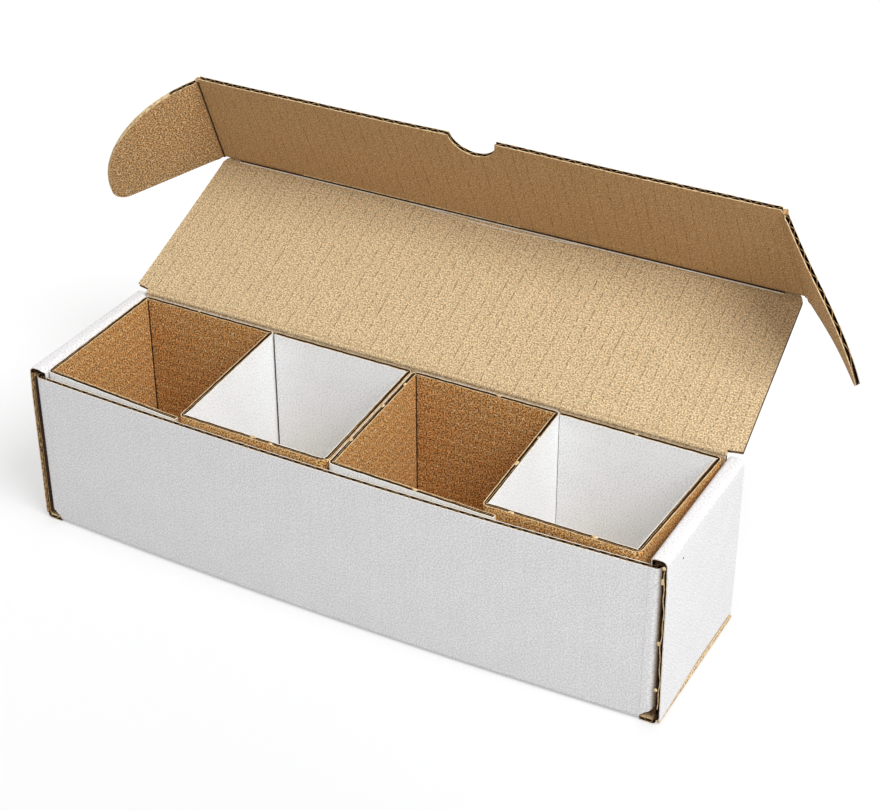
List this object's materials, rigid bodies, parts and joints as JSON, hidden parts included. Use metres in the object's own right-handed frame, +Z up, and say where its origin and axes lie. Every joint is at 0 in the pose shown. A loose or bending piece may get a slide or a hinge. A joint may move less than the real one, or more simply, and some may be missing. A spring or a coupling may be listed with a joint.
{
  "type": "dental model mailing box",
  "caption": "Long white corrugated mailing box, open, with folded dividers that make a row of cells for plaster dental models.",
  "frame": {"origin": "centre of the tray's underside, on the surface that the box stands on", "axes": "+X along the box to the right as seen from the front, +Y from the front wall to the back wall and the lid's hinge, +Z up"},
  "size_m": [0.393, 0.166, 0.1812],
  "materials": {
    "white_board": "matt white outer liner of corrugated board",
    "kraft_board": "matt brown kraft liner of corrugated board",
    "divider_board": "corrugated board, kraft on one face and white on the other"
  },
  "bodies": {
    "tray": {"tray": "white_board", "divider_left": "divider_board", "divider_right": "divider_board"},
    "lid": {"lid": "kraft_board"},
    "tuck_flap": {"tuck_flap": "kraft_board"},
    "ear_left": {"ear_left": "kraft_board"},
    "ear_right": {"ear_right": "kraft_board"}
  },
  "joints": [
    {"name": "lid_crease", "type": "hinge", "parent": "tray", "child": "lid", "pos_m": [0, 0.04075, 0.08655], "axis": [-1, 0, 0], "range_deg": [-142, 26]},
    {"name": "tuck_flap_crease", "type": "hinge", "parent": "lid", "child": "tuck_flap", "pos_m": [0, 0.12029, 0.12535], "axis": [-1, 0, 0], "range_deg": [0, 91]},
    {"name": "ear_left_crease", "type": "hinge", "parent": "tuck_flap", "child": "ear_left", "pos_m": [-0.1565, 0.12029, 0.12535], "axis": [-0.0963, 0.4519, -0.8869], "range_deg": [0, 48]},
    {"name": "ear_right_crease", "type": "hinge", "parent": "tuck_flap", "child": "ear_right", "pos_m": [0.1565, 0.12029, 0.12535], "axis": [-0.0963, -0.4519, 0.8869], "range_deg": [0, 48]}
  ]
}
